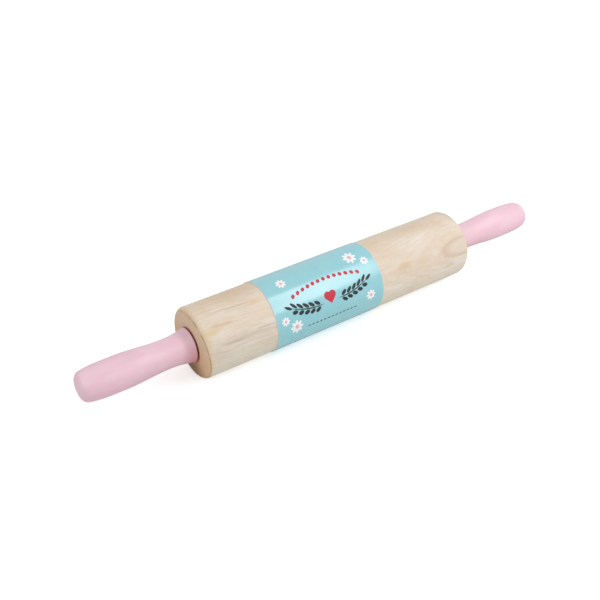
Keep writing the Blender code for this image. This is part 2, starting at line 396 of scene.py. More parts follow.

# %% [markdown]
# ## This barrel's own marks
# No two barrels look alike. This one is tan along its top, cool below and grey on
# top of its far end. The tan top and the cool underside are partly the wood's own
# tone and partly painted shade, for the lesser light that reaches them than the
# front. It has brown lines, tan patches and a short orange streak near one end, and
# warm and pale patches by the arch at the other. Each mark is a soft-edged ellipsoid
# in the wood, laid along the grain.

# %% The marks
MARKS = (
    # centre in millimetres, half sizes, where the edge begins to fade, strength, colour
    # The tan marks along the top and the cool one below are partly the wood's tone and
    # partly painted shade.
    ((-10, 1, 28.5), (230, 15, 9), 0.1, 0.4, "#D6BB96"),
    ((82, -23, 14), (62, 22, 18), 0.2, 0.46, "#D9C1A8"),
    ((-86, 4, 28), (46, 19, 10), 0.0, 0.36, "#C8A983"),
    ((-120, -5, 27.5), (15, 13, 8), 0.2, 0.22, "#CFB78C"),
    ((-92, -26.2, 9.9), (44, 7, 7), 0.0, 0.34, "#BB9F83"),
    ((84, 3, 28), (46, 17, 9), 0.0, 0.36, "#C8A983"),
    ((43, -14, 24.2), (31, 19, 14), 0.1, 0.42, "#D4BA97"),
    ((-77, -10.8, 25.8), (17, 5, 5), 0.1, 0.5, "#DCBA94"),
    ((-116, -27.6, 4), (21, 6, 9), 0.1, 0.3, "#B59F88"),
    ((-122, -22.4, 16.8), (5, 8, 10), 0.2, 0.43, "#D6B482"),
    ((0, -22, -13), (200, 18, 16), 0.1, 0.34, "#D2C3A2"),
    ((-103.5, -17.9, 21.5), (8, 2, 2), 0.1, 0.46, "#CF9F68"),
    ((-111.5, -17.3, 22), (7, 1.6, 1.6), 0.1, 0.6, "#D3A876"),
    ((-117, -20, 19.6), (9.5, 6.5, 6.5), 0.1, 0.56, "#D6BA88"),
    ((-103, -26.3, 9.6), (16, 1.8, 1.8), 0.1, 0.42, "#B3947C"),
    ((-97, -27.4, 5.8), (12, 1.3, 1.3), 0.1, 0.3, "#B3947C"),
    ((-75, -25.4, 11.8), (12, 1.3, 1.3), 0.1, 0.5, "#B7977E"),
    ((-96, -9, 26.5), (24, 1.2, 1.2), 0.1, 0.5, "#BA9464"),
    ((57, -24.2, 14), (10.5, 4.2, 4.2), 0.2, 0.5, "#D4B38D"),
    ((44.5, -24.8, 13), (11, 2.6, 2.6), 0.0, 0.42, "#DABD97"),
    ((75, -25, 12.6), (12, 6, 6), 0.0, 0.45, "#D6C0A2"),
    ((90, -24, 14.4), (5.5, 4.5, 4.5), 0.0, 0.4, "#E4E2D8"),
    ((114.8, -25.2, 12.3), (20.6, 8.7, 8.7), 0.84, 0.36, "#BA9D86"),
    ((118.6, -25, 12.6), (20.2, 7.8, 7.8), 0.5, 0.8, "#E1D2C0"),
    ((100.6, -25.5, 11.6), (2.8, 3.6, 3.6), 0.0, 0.16, "#DFB283"),
    ((102.4, -28, 0), (11, 3.6, 3.6), 0.1, 0.55, "#CEB9A0"),
    ((124, 4, 28), (10, 20, 9), 0.2, 0.4, "#BDB2A6"),
)


def patch(tree, place, centre_mm, size_mm, edge, strength):
    """A soft-edged patch round a place, from its strength inside to 0 outside."""
    offset = add_node(tree, "VectorMath", (place, centre_mm), operation="SUBTRACT")
    shares = add_node(tree, "VectorMath", (offset, size_mm), operation="DIVIDE")
    reach = add_node(tree, "VectorMath", (shares,), operation="LENGTH")
    return add_node(tree, "MapRange", (reach, edge, 1.0, strength, 0.0), **SMOOTH)


def marked(tree, colour, place):
    """A colour with the marks laid over it, at places that are already untwisted."""
    for centre_mm, size_mm, edge, strength, hue in MARKS:
        centre_mm = untwisted_centre(centre_mm)
        mark = patch(tree, place, centre_mm, size_mm, edge, strength)
        colour = layered(tree, colour, (mark, hue))
    return colour


print("marks:", len(MARKS))

# %% [markdown]
# ## The colour of the side
# The ground drifts between cream and peach in long patches. Fibres, rings, a soft
# mottle about 9 mm long and the flecks are laid over it in turn, each in a darker
# brown and each only in part, because beech is a wood of low contrast.

# %% The colour of the side
TINT_MM = (60, 13, 13)
MOTTLE_MM = (9, 1.8, 1.8)
FIBRE_STRENGTH = 0.18
MOTTLE_STRENGTH = 0.14


def side_colour(tree, grain, fibres, ring_share, fleck_share):
    """Cream and peach wood with fibres, rings, mottle and flecks."""
    tint = stretched_noise(tree, grain, TINT_MM)
    mottle = stretched_noise(tree, grain, MOTTLE_MM)
    fibre_share = add_node(
        tree, "MapRange", (fibres, 0.4, 0.8, 0.0, FIBRE_STRENGTH), **SMOOTH)
    mottle_share = add_node(
        tree, "MapRange", (mottle, 0.4, 0.66, 0.0, MOTTLE_STRENGTH), **SMOOTH)
    return layered(
        tree, drifting(tree, tint, 0.32, 0.68, "#E9E1D7", "#E3D4C2"),
        (fibre_share, "#D2BEA3"), (ring_share, "#C6AB8E"),
        (mottle_share, "#BD9F7E"), (fleck_share, "#B48F6A"),
    )


print("patches of cream and peach, mm long:", TINT_MM[0])

# %% [markdown]
# ## The colour of the end grain
# An end face shows the open ends of the fibres. It drinks light, so it is darker and
# browner, and its pores are dots, not lines. A dark brown ring of painted shade lies
# round the bore, in the narrow gap under the grip's rim, and where the face meets the
# rounded edge runs a broken darker line. The face is also painted a little darker and
# warmer towards its bottom, as shade. Where the surface turns to the end is known
# from its direction.

# %% The colour of the end grain
PORES_MM = (0.5, 0.5, 0.5)
PORE_STRENGTH = 0.3
FACE_EDGE = 0.6
FACE_EDGE_REACHES = (0.02, 0.16)
FACE_EDGE_STRENGTH = 0.65
# A ring of painted shade round the bore, in the gap under the grip's rim.
GAP_SHADE_RADII_MM = (13.0, 14.6)
GAP_SHADE_STRENGTH = 0.75
# Heights over which the end face is painted darker and warmer towards its bottom, as shade.
END_SHADE_HEIGHTS_MM = (-16.0, 20.0)


def end_grain_colour(tree, place, height, endward, breaks, ring_share):
    """Brown end grain with rings, pores, an edge line, and painted shade low down and round
    the bore.
    """
    pores = stretched_noise(tree, place, PORES_MM)
    pore_share = add_node(
        tree, "MapRange", (pores, 0.52, 0.7, 0.0, PORE_STRENGTH), **SMOOTH)
    edge_reach = add_node(tree, "Math", (endward, FACE_EDGE), operation="SUBTRACT")
    edge_reach = add_node(tree, "Math", (edge_reach,), operation="ABSOLUTE")
    edge_share = add_node(tree, "MapRange", (
        edge_reach, *FACE_EDGE_REACHES, FACE_EDGE_STRENGTH, 0.0,
    ), **SMOOTH)
    broken = add_node(tree, "MapRange", (breaks, 0.35, 0.6, 0.25, 1.0), **SMOOTH)
    edge_share = add_node(tree, "Math", (edge_share, broken), operation="MULTIPLY")
    spokes = add_node(tree, "VectorMath", (place, ACROSS), operation="MULTIPLY")
    from_axis = add_node(tree, "VectorMath", (spokes,), operation="LENGTH")
    # Painted shade: a dark ring round the bore, where the grip's rim shades the gap.
    gap_shade_share = add_node(
        tree, "MapRange", (from_axis, *GAP_SHADE_RADII_MM, GAP_SHADE_STRENGTH, 0.0), **SMOOTH)
    # Painted shade: the end face darkens and warms towards its bottom.
    return layered(
        tree, drifting(tree, height, *END_SHADE_HEIGHTS_MM, "#D8B28D", "#DAC2A7"),
        (ring_share, "#BF9E7B"), (pore_share, "#A58058"),
        (edge_share, "#A5824F"), (gap_shade_share, "#98443A"),
    )


# The ring of painted shade round the bore reaches out to this radius.
print("burnished out to a radius of, mm:", GAP_SHADE_RADII_MM[1])

# %% [markdown]
# ## The beech material
# The side and the end grain come together here. The rounded edge between them is
# sanded harder and looks tan, most of all at the near end. The outlines of marks and
# of the end grain are moved by a small noise, less its mean of a half, because
# nothing in wood ends at a clean curve. Low on the near face, below the grip, is a
# dark patch of painted shade, where the grip shades the face. Along the fibres the
# wood is a little rougher and stands a few hundredths of a millimetre proud.

# %% The beech material
WOBBLE_GRAIN_MM = (16, 4, 4)
WOBBLE_MM = (3, 2, 2)
TAN_PLACES_MM = (-100.0, 100.0)
TAN_STRENGTHS = (0.45, 0.12)
TAN_REACH = 0.4
END_REACHES = (0.36, 0.62)
END_LEAN_PER_MM = -0.0125
# A dark patch of painted shade low on the near face, below the grip.
NEAR_FACE_SHADE_MM = (-125, 2, -27)
NEAR_FACE_SHADE_SIZE_MM = (6.5, 35, 27)
NEAR_FACE_SHADE_EDGE = 0.2
NEAR_FACE_SHADE_STRENGTH = 0.62


def sanded_beech():
    """Bare beech, turned and sanded: pale dry side, brown end grain, fine relief."""
    material, tree, shader = new_material("sanded_beech", 0.6, specular=0.25)
    place = pin_millimetres(tree)
    along = add_node(tree, "SeparateXYZ", (place,))
    grain = straightened(tree, place, along)
    breaks, ring_share, fibres, fleck_share = fine_lines(tree, grain, along)
    wobble = stretched_noise(tree, place, WOBBLE_GRAIN_MM, detail=3.0)
    wobble = wobble.node.outputs["Color"]
    wobble = add_node(tree, "VectorMath", (wobble, (-0.5,) * 3), operation="ADD")
    wobbled = add_node(
        tree, "VectorMath", (wobble, WOBBLE_MM, place), operation="MULTIPLY_ADD")

    side = side_colour(tree, grain, fibres, ring_share, fleck_share)
    side = marked(tree, side, untwisted(tree, wobbled, along))
    facing = add_node(tree, "TexCoord").node.outputs["Normal"]
    endward = add_node(tree, "SeparateXYZ", (facing,))
    endward = add_node(tree, "Math", (endward,), operation="ABSOLUTE")
    tan_share = add_node(tree, "MapRange", (along, *TAN_PLACES_MM, *TAN_STRENGTHS))
    tan_share = add_node(
        tree, "MapRange", (endward, 0.0, TAN_REACH, 0.0, tan_share), **SMOOTH)
    side = layered(tree, side, (tan_share, "#DFC49C"))

    height = add_node(tree, "SeparateXYZ", (wobbled,)).node.outputs["Z"]
    endward = add_node(
        tree, "Math", (height, END_LEAN_PER_MM, endward), operation="MULTIPLY_ADD")
    end_share = add_node(tree, "MapRange", (endward, *END_REACHES), **SMOOTH)
    end = end_grain_colour(tree, place, height, endward, breaks, ring_share)
    colour = add_node(tree, "Mix", (end_share, side, end), **COLOUR)
    # Painted shade: dark brown low on the near end face, where the grip shades it.
    near_face_shade = patch(
        tree, wobbled, NEAR_FACE_SHADE_MM, NEAR_FACE_SHADE_SIZE_MM, NEAR_FACE_SHADE_EDGE, NEAR_FACE_SHADE_STRENGTH)
    colour = layered(tree, colour, (near_face_shade, "#5A402A"))

    dryness = add_node(tree, "MapRange", (fibres, 0.3, 0.8, 0.54, 0.68), **SMOOTH)
    relief = add_node(tree, "Math", (fibres, -0.5, fleck_share), operation="MULTIPLY_ADD")
    surface(
        tree, shader, colour, relief, strength=0.35, depth=0.00006,
        roughness=dryness, invert=True,
    )
    return material


beech = sanded_beech()
print("beech nodes:", len(beech.node_tree.nodes))

# %% [markdown]
# ## The barrel
# The barrel is turned from one billet, and its ends are rounded to 4 mm. Each end has
# a recess for the flange of a bush and its washer, then a seat for the bush, and a
# bore for the rod runs through. Its outline is drawn for one end and mirrored.

# %% The barrel
BARREL_STEPS = 256
EDGE_STEPS = 24
BARREL_EDGE_RADIUS = 0.004
BARREL_BORE_RADIUS = 0.0052
SEAT_RADIUS = 0.007
SEAT_FLOOR = 0.1045
RECESS_RADIUS = 0.011
RECESS_FLOOR = 0.1225
MOUTH_CHAMFER = 0.0005


def barrel_end():
    """The barrel's outline at its far end, from the bore round to the side."""
    edge_place = BARREL_HALF - BARREL_EDGE_RADIUS
    edge = arc(
        edge_place, BARREL_RADIUS - BARREL_EDGE_RADIUS, BARREL_EDGE_RADIUS,
        pi / 2, 0, EDGE_STEPS,
    )
    return [
        (SEAT_FLOOR, BARREL_BORE_RADIUS),
        (SEAT_FLOOR, SEAT_RADIUS),
        (RECESS_FLOOR, SEAT_RADIUS),
        (RECESS_FLOOR, RECESS_RADIUS),
        (BARREL_HALF - MOUTH_CHAMFER, RECESS_RADIUS),
        (BARREL_HALF, RECESS_RADIUS + MOUTH_CHAMFER),
        *edge,
    ]


far_end = barrel_end()
near_end = [(-place, radius) for place, radius in reversed(far_end)]
barrel = turned("turned_barrel", far_end + near_end, BARREL_STEPS, beech)
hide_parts("barrel")
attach(barrel, "barrel")

# %% [markdown]
# ## Satin paint
# The grips are turned from the same wood, primed and sprayed with a satin enamel in
# pale pink. Paint levels itself as it dries, so it has a faint orange peel about a
# millimetre across, and a trace of the wood's fibres shows through as relief. Its
# film is an even pink, a touch warmer where it is thin. The low side is painted a
# deeper pink as shade, and most of all below the flare at the rim, as painted shade
# and warm light thrown back from the barrel's end.

# %% The paint material
PEEL_MM = (1.3, 1.3, 1.3)
PAINTED_FIBRES_MM = (18, 0.7, 0.7)
FILM_MM = (24, 9, 9)
THIN_STRENGTH = 0.25
# Painted shade on the low side of a grip, and below the flare by the rim.
LOW_SIDE_SHADE_MM = (-12.0, 10.0)
LOW_SIDE_SHADE_STRENGTH = 0.32
RIM_SHADE_LENGTH_MM = 14.0
RIM_SHADE_HEIGHT_MM = (-6.0, 13.0)
RIM_SHADE_STRENGTH = 0.75


def satin_pink_paint():
    """Sprayed satin enamel: pale pink, soft sheen, faint peel, and painted shade below."""
    material, tree, shader = new_material("satin_pink_paint", 0.4)
    place = pin_millimetres(tree)
    peel = stretched_noise(tree, place, PEEL_MM)
    fibres = stretched_noise(tree, place, PAINTED_FIBRES_MM, detail=3.0)
    film = stretched_noise(tree, place, FILM_MM)
    thin = add_node(tree, "MapRange", (fibres, 0.62, 0.8, 0.0, THIN_STRENGTH), **SMOOTH)
    parts = add_node(tree, "SeparateXYZ", (place,)).node.outputs
    # Painted shade: a deeper pink on the low side of each grip.
    low_side_shade = add_node(tree, "MapRange", (
        parts["Z"], *LOW_SIDE_SHADE_MM, LOW_SIDE_SHADE_STRENGTH, 0.0,
    ), **SMOOTH)
    along = add_node(tree, "Math", (parts["X"],), operation="ABSOLUTE")
    rim_mm = RIM_PLACE * TO_MM
    # Painted shade and bounced light: a deeper pink below the flare, beside the barrel's
    # end.
    by_rim = add_node(tree, "MapRange", (
        along, rim_mm, rim_mm + RIM_SHADE_LENGTH_MM, RIM_SHADE_STRENGTH, 0.0,
    ), **SMOOTH)
    below = add_node(
        tree, "MapRange", (parts["Z"], *RIM_SHADE_HEIGHT_MM, 1.0, 0.0), **SMOOTH)
    rim_shade = add_node(tree, "Math", (by_rim, below), operation="MULTIPLY")
    colour = layered(
        tree, drifting(tree, film, 0.35, 0.65, "#ECC8D4", "#E8C1CE"),
        (thin, "#EBC4C8"), (low_side_shade, "#DDA0B0"), (rim_shade, "#D68290"),
    )
    satin = add_node(tree, "MapRange", (peel, 0.3, 0.7, 0.36, 0.44), **SMOOTH)
    relief = add_node(tree, "Math", (fibres, 0.6, peel), operation="MULTIPLY_ADD")
    surface(tree, shader, colour, relief, strength=0.25, depth=0.00005, roughness=satin)
    return material


pink_paint = satin_pink_paint()
print("paint nodes:", len(pink_paint.node_tree.nodes))

# %% [markdown]
# ## The grips
# A grip flares to a crisp rim beside the barrel, has a slim waist for the forefinger
# and a belly for the palm, and ends in a round corner and a shallow dome. Each
# stretch of the outline is one smooth curve that starts level with the last. The
# bore for the rod is drilled from the rim. The near grip is the far one, mirrored.

# %% The grips
GRIP_STEPS = 192
CURVE_STEPS = 24
CORNER_STEPS = 16
DOME_STEPS = 10
RIM_STEPS = 10
GRIP_LENGTH = 0.0866
RIM_RADIUS = 0.0135
RIM_ROUNDING = 0.001
WAIST_RADIUS = 0.01115
WAIST_PLACE = GRIP_LENGTH * 0.225
BELLY_RADIUS = 0.01305
BELLY_PLACE = GRIP_LENGTH * 0.635
CORNER_RADIUS = 0.006
SHOULDER_ANGLE = radians(11.5)
DOME_ANGLE = radians(15)
TAPER_POWER = 4
ROD_BORE_RADIUS = 0.0043
ROD_BORE_DEPTH = 0.0586
ROD_BORE_CHAMFER = 0.0006
DRILL_HALF_ANGLE = radians(59)
DRILL_POINT = ROD_BORE_RADIUS / tan(DRILL_HALF_ANGLE)


def grip_outline():
    """The grip's outline, from the bottom of its bore to the tip of its dome."""
    shares = [step / CURVE_STEPS for step in range(1, CURVE_STEPS + 1)]
    corner_place = GRIP_LENGTH - CORNER_RADIUS
    shoulder_place = corner_place + CORNER_RADIUS * sin(SHOULDER_ANGLE)
    taper_length = shoulder_place - BELLY_PLACE
    taper = taper_length * tan(SHOULDER_ANGLE) / TAPER_POWER
    points = [
        (ROD_BORE_DEPTH + DRILL_POINT, 0),
        (ROD_BORE_DEPTH, ROD_BORE_RADIUS),
        (ROD_BORE_CHAMFER, ROD_BORE_RADIUS),
        (0, ROD_BORE_RADIUS + ROD_BORE_CHAMFER),
    ]
    points += arc(
        RIM_ROUNDING, RIM_RADIUS - RIM_ROUNDING, RIM_ROUNDING, -pi / 2, 0, RIM_STEPS)
    for share in shares:
        place = RIM_ROUNDING + (WAIST_PLACE - RIM_ROUNDING) * share
        flare = (RIM_RADIUS - WAIST_RADIUS) * (1 - share) ** 2
        points.append((place, WAIST_RADIUS + flare))
    for share in shares:
        place = WAIST_PLACE + (BELLY_PLACE - WAIST_PLACE) * share
        swell = share * share * (3 - 2 * share)
        points.append((place, WAIST_RADIUS + (BELLY_RADIUS - WAIST_RADIUS) * swell))
    for share in shares[:-1]:
        place = BELLY_PLACE + taper_length * share
        points.append((place, BELLY_RADIUS - taper * share ** TAPER_POWER))
    corner_centre = BELLY_RADIUS - taper - CORNER_RADIUS * cos(SHOULDER_ANGLE)
    points += arc(
        corner_place, corner_centre, CORNER_RADIUS,
        SHOULDER_ANGLE, pi / 2 - DOME_ANGLE, CORNER_STEPS,
    )
    dome_place, dome_radius = points[-1]
    dome_height = dome_radius * tan(DOME_ANGLE) / 2
    for step in range(1, DOME_STEPS + 1):
        share = 1 - step / DOME_STEPS
        points.append((dome_place + dome_height * (1 - share * share), dome_radius * share))
    return points


grip_side = grip_outline()
for side, way in (("near", -1), ("far", 1)):
    outline = [(way * (RIM_PLACE + place), radius) for place, radius in grip_side]
    grip = turned(side + "_grip", outline, GRIP_STEPS, pink_paint, closed=False)
    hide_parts(side + "_handle")
    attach(grip, "grips")
print("grip tip, mm:", round((RIM_PLACE + grip_side[-1][0]) * TO_MM, 2))

# %% [markdown]
# ## The print on the card
# The band is coated card, printed flat before it is rolled. The design is made here
# from a few shapes, each a distance that is turned into ink by a soft step a quarter
# of a millimetre wide: two ears of wheat, a heart, daisies and rows of dots. What
# repeats is drawn once: the card is cut into equal cells, each with places of its
# own from -1/2 to 1/2 of the pitch. All places are millimetres on the flat card, from
# the middle of the design, first along the pin and then up the front of the band.

# %% Ellipses, ink and cells
INK_EDGE_MM = 0.24


def ellipse_reach(tree, place, half_sizes_mm):
    """The distance from a centre as a share of an ellipse's edge."""
    shares = add_node(
        tree, "VectorMath", (place, (1 / half_sizes_mm[0], 1 / half_sizes_mm[1], 0)),
        operation="MULTIPLY",
    )
    return add_node(tree, "VectorMath", (shares,), operation="LENGTH")


def ink(tree, reach, size_mm):
    """Ink inside a reach of 1, with an edge of a fixed width on the card."""
    edge = INK_EDGE_MM / 2 / size_mm
    return add_node(tree, "MapRange", (reach, 1 - edge, 1 + edge, 1.0, 0.0), **SMOOTH)


def in_cells(tree, along, pitch_mm, shift=0.0):
    """How many equal cells lie before a place, and the place within its cell."""
    count = add_node(tree, "Math", (along, 1 / pitch_mm, shift), operation="MULTIPLY_ADD")
    share = add_node(tree, "Math", (count,), operation="FRACT")
    return count, add_node(
        tree, "Math", (share, pitch_mm, -pitch_mm / 2), operation="MULTIPLY_ADD")


print("ink edge, mm:", INK_EDGE_MM)

# %% [markdown]
# ## Two ears of wheat
# One ear is drawn for both: places along the pin count as distances from the middle,
# which mirrors the card. Each cell holds one leaning grain above the stem and one
# below. The stem follows a shallow curve, and the last grain points straight ahead.

# %% Two ears of wheat
GRAIN_PITCH_MM = 5.0
GRAIN_COUNT = 5
GRAIN_LEAN = radians(33)
GRAIN_SIZE_MM = (2.75, 1.4)
GRAIN_INK_MM = 1.7
GRAIN_OFFSET_MM = 2.6
EAR_START_MM = 10.0
EAR_BELOW_MM = 9.0
EAR_LENGTH_MM = GRAIN_PITCH_MM * GRAIN_COUNT
STEM_BEND = 0.009
TIP_AND_STEM = (
    # middle along the stem, half sizes, and the size that the ink's edge goes by
    (EAR_LENGTH_MM + 2.2, (2.8, 1.3), 1.6),
    (EAR_LENGTH_MM / 2 - 1.5, (EAR_LENGTH_MM / 2 + 1.5, 0.5), 1.0),
)


def wheat_ears(tree, card_mm):
    """Two ears of wheat that lean away from the middle, as one mask."""
    parts = add_node(tree, "SeparateXYZ", (card_mm,)).node.outputs
    mirrored = add_node(tree, "Math", (parts["X"],), operation="ABSOLUTE")
    along = add_node(tree, "Math", (mirrored, EAR_START_MM), operation="SUBTRACT")
    climb = add_node(tree, "Math", (along, 2.0), operation="POWER")
    climb = add_node(
        tree, "Math", (climb, -STEM_BEND, EAR_BELOW_MM), operation="MULTIPLY_ADD")
    height = add_node(tree, "Math", (parts["Y"], climb), operation="ADD")
    above = add_node(tree, "Math", (height,), operation="ABSOLUTE")
    cells, in_cell = in_cells(tree, along, GRAIN_PITCH_MM)
    grain_place = add_node(tree, "CombineXYZ", (in_cell, above, 0.0))
    grain_place = add_node(
        tree, "VectorMath", (grain_place, (0, GRAIN_OFFSET_MM, 0)), operation="SUBTRACT")
    grain_place = add_node(tree, "VectorRotate", {
        "Vector": grain_place, "Angle": -GRAIN_LEAN,
    }, rotation_type="Z_AXIS")
    grain = ink(tree, ellipse_reach(tree, grain_place, GRAIN_SIZE_MM), GRAIN_INK_MM)
    whole = add_node(
        tree, "Math", (cells, GRAIN_COUNT / 2, GRAIN_COUNT / 2), operation="COMPARE")
    ears = add_node(tree, "Math", (grain, whole), operation="MULTIPLY")

    stem_place = add_node(tree, "CombineXYZ", (along, height, 0.0))
    for middle_mm, half_sizes_mm, ink_mm in TIP_AND_STEM:
        offset = add_node(
            tree, "VectorMath", (stem_place, (middle_mm, 0, 0)), operation="SUBTRACT")
        spot = ink(tree, ellipse_reach(tree, offset, half_sizes_mm), ink_mm)
        ears = add_node(tree, "Math", (ears, spot), operation="MAXIMUM")
    return ears


print("grains in the two ears:", 2 * (2 * GRAIN_COUNT + 1))

# %% [markdown]
# ## A heart and daisies
# A heart is a square that stands on its corner, with a round on each upper side. A
# daisy's edge swings in and out eight times as one goes round it, which makes its
# petals. Its disc is a small circle on top.

# %% A heart and daisies
PETALS = 8
PETAL_DEPTH = 0.45
DISC_SHARE = 0.3


def heart(tree, card_mm, centre_mm, size_mm):
    """A heart: a square on its corner, with a round on each upper side."""
    offset = add_node(tree, "VectorMath", (card_mm, (*centre_mm, 0)), operation="SUBTRACT")
    up = add_node(tree, "SeparateXYZ", (offset,)).node.outputs["Y"]
    folded = add_node(tree, "VectorMath", (offset,), operation="ABSOLUTE")
    parts = add_node(tree, "SeparateXYZ", (folded,)).node.outputs
    beside = add_node(tree, "CombineXYZ", (parts["X"], up, 0.0))
    half = (size_mm / 2, size_mm / 2, 0)
    beside = add_node(tree, "VectorMath", (beside, half), operation="SUBTRACT")
    round_reach = ellipse_reach(tree, beside, (size_mm * cos(pi / 4),) * 2)
    square = add_node(tree, "Math", (parts["X"], parts["Y"]), operation="ADD")
    square = add_node(tree, "Math", (square, 1 / size_mm), operation="MULTIPLY")
    reach = add_node(tree, "Math", (round_reach, square), operation="MINIMUM")
    return ink(tree, reach, size_mm)


def daisy(tree, card_mm, centre_mm, size_mm):
    """Petals and a disc: two masks."""
    offset = add_node(tree, "VectorMath", (card_mm, (*centre_mm, 0)), operation="SUBTRACT")
    parts = add_node(tree, "SeparateXYZ", (offset,)).node.outputs
    angle = add_node(tree, "Math", (parts["Y"], parts["X"]), operation="ARCTAN2")
    petals = add_node(tree, "Math", (angle, PETALS / 2), operation="MULTIPLY")
    petals = add_node(tree, "Math", (petals,), operation="COSINE")
    petals = add_node(tree, "Math", (petals,), operation="ABSOLUTE")
    edge = add_node(
        tree, "Math", (petals, PETAL_DEPTH, 1 - PETAL_DEPTH), operation="MULTIPLY_ADD")
    reach = ellipse_reach(tree, offset, (size_mm, size_mm))
    petal_reach = add_node(tree, "Math", (reach, edge), operation="DIVIDE")
    disc_reach = add_node(tree, "Math", (reach, 1 / DISC_SHARE), operation="MULTIPLY")
    return ink(tree, petal_reach, size_mm), ink(tree, disc_reach, size_mm * DISC_SHARE)


print("petals on a daisy:", PETALS)

# %% [markdown]
# ## Rows of dots
# Each cell holds one dot, and cells too far out stay bare. An arched row drops away
# with the square of the distance from the middle.

# %% Rows of dots
DOTS_EACH_WAY = 6


def dot_row(tree, card_mm, height_mm, pitch_mm, half_sizes_mm, arch=0.0):
    """A row of equal dots or dashes, level or arched over the design."""
    parts = add_node(tree, "SeparateXYZ", (card_mm,)).node.outputs
    cells, in_cell = in_cells(tree, parts["X"], pitch_mm, shift=0.5)
    drop = add_node(tree, "Math", (parts["X"], 2.0), operation="POWER")
    height = add_node(tree, "Math", (drop, arch, parts["Y"]), operation="MULTIPLY_ADD")
    height = add_node(tree, "Math", (height, height_mm), operation="SUBTRACT")
    place = add_node(tree, "CombineXYZ", (in_cell, height, 0.0))
    dots = ink(tree, ellipse_reach(tree, place, half_sizes_mm), min(half_sizes_mm))
    whole = add_node(
        tree, "Math", (cells, 0.5, DOTS_EACH_WAY + 0.5), operation="COMPARE")
    return add_node(tree, "Math", (dots, whole), operation="MULTIPLY")


print("dots in a row:", 2 * DOTS_EACH_WAY + 1)

# %% [markdown]
# ## The card band
# The band is one strip of card, 0.4 mm thick, wound once round the barrel and glued
# to itself over a 12 mm lap at the lower back. It is made as a real one is. A flat
# sheet is given its thickness, then its print coordinates, and then it is rolled.
# Its last stretch climbs over its own first edge, by the thickness of card and glue.

# %% Sizes of the card band
CARD_THICKNESS = 0.0004
GLUE_LINE = 0.0001
BAND_GAP = 0.0001
BAND_RADIUS = BARREL_RADIUS + BAND_GAP
band_low, band_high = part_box("label_sleeve")
BAND_LENGTH = band_high.x - band_low.x
BAND_START = radians(47.8)
BAND_TURN = radians(384)
RAMP_START = radians(348.75)
RAMP_END = radians(360)
PRINT_DIRECTION = radians(229)
CARD_LENGTH = BAND_TURN * BAND_RADIUS
PRINT_HEIGHT = CARD_LENGTH - (PRINT_DIRECTION - BAND_START) * BAND_RADIUS
print("card, mm:", round(BAND_LENGTH * TO_MM, 1), "by", round(CARD_LENGTH * TO_MM, 1))

# %% [markdown]
# ## Coated card
# The printed side has a satin coating, which makes the soft highlight. The ground is
# a light cyan, a little uneven as offset ink is. The dark and red inks are printed
# over the coating and are matt. Along the two cut edges the coating is rubbed thin,
# and the white card begins to show. The inside and the cut edges are bare greyish
# board with short fibres.

# %% The printed side of the card
DAISIES = (
    # centre and size, in millimetres on the flat card
    ((31.0, 18.0), 5.8), ((40.5, 11.0), 3.6), ((-33.0, 18.0), 4.2),
    ((-33.0, -18.5), 5.6), ((-42.0, -11.0), 3.6), ((37.0, -17.0), 4.4),
)
INK_ROUGHNESS = 0.4
INKING_MM = (14, 14, 14)
CARD_FIBRE_MM = (0.35, 0.35, 0.35)
RUBBED_MM = (0.15, 0.6)
RUBBED_WANDER_MM = 0.9
RUBBED_STRENGTH = 0.7


def printed_card():
    """Satin coated card: light cyan with a soft shine, and a matt printed design."""
    material, tree, shader = new_material("satin_printed_card", 0.24, specular=0.62)
    flat = add_node(tree, "UVMap", uv_map="flat_card")
    half_width_mm = BAND_LENGTH * TO_MM / 2
    card_mm = add_node(tree, "Mapping", {
        "Vector": flat,
        "Location": (-half_width_mm, -PRINT_HEIGHT * TO_MM, 0),
        "Scale": (BAND_LENGTH * TO_MM, CARD_LENGTH * TO_MM, 1),
    })
    place = pin_millimetres(tree)
    inking = stretched_noise(tree, place, INKING_MM, detail=3.0)
    fibre = stretched_noise(tree, place, CARD_FIBRE_MM, detail=3.0)
    colour = drifting(tree, inking, 0.3, 0.7, "#91CAD3", "#96CDD6")

    for centre_mm, size_mm in DAISIES:
        petals, disc = daisy(tree, card_mm, centre_mm, size_mm)
        colour = layered(tree, colour, (petals, "#F2F3F4"), (disc, "#E9AEB6"))
    ears = wheat_ears(tree, card_mm)
    dots = dot_row(
        tree, card_mm, height_mm=9.0, pitch_mm=5.0, half_sizes_mm=(1.6, 1.6), arch=0.005)
    hearts = heart(tree, card_mm, centre_mm=(0.0, -6.4), size_mm=4.4)
    red_ink = add_node(tree, "Math", (dots, hearts), operation="MAXIMUM")
    all_ink = add_node(tree, "Math", (red_ink, ears), operation="MAXIMUM")
    dashes = dot_row(
        tree, card_mm, height_mm=-22.0, pitch_mm=3.6, half_sizes_mm=(1.25, 0.62))

    parts = add_node(tree, "SeparateXYZ", (card_mm,))
    from_middle = add_node(tree, "Math", (parts,), operation="ABSOLUTE")
    rubbed = add_node(
        tree, "Math", (fibre, RUBBED_WANDER_MM, from_middle), operation="MULTIPLY_ADD")
    rubbed_ends_mm = [half_width_mm + past_mm for past_mm in RUBBED_MM]
    rubbed = add_node(
        tree, "MapRange", (rubbed, *rubbed_ends_mm, 0.0, RUBBED_STRENGTH), **SMOOTH)
    colour = layered(
        tree, colour, (ears, "#0B1014"), (red_ink, "#C4243A"), (dashes, "#3C6068"),
        (rubbed, "#DCEBEE"),
    )
    sheen = add_node(tree, "MapRange", (fibre, 0.3, 0.7, 0.2, 0.24), **SMOOTH)
    sheen = add_node(
        tree, "Math", (all_ink, INK_ROUGHNESS, sheen), operation="MULTIPLY_ADD")
    surface(tree, shader, colour, fibre, strength=0.12, depth=0.00003, roughness=sheen)
    return material


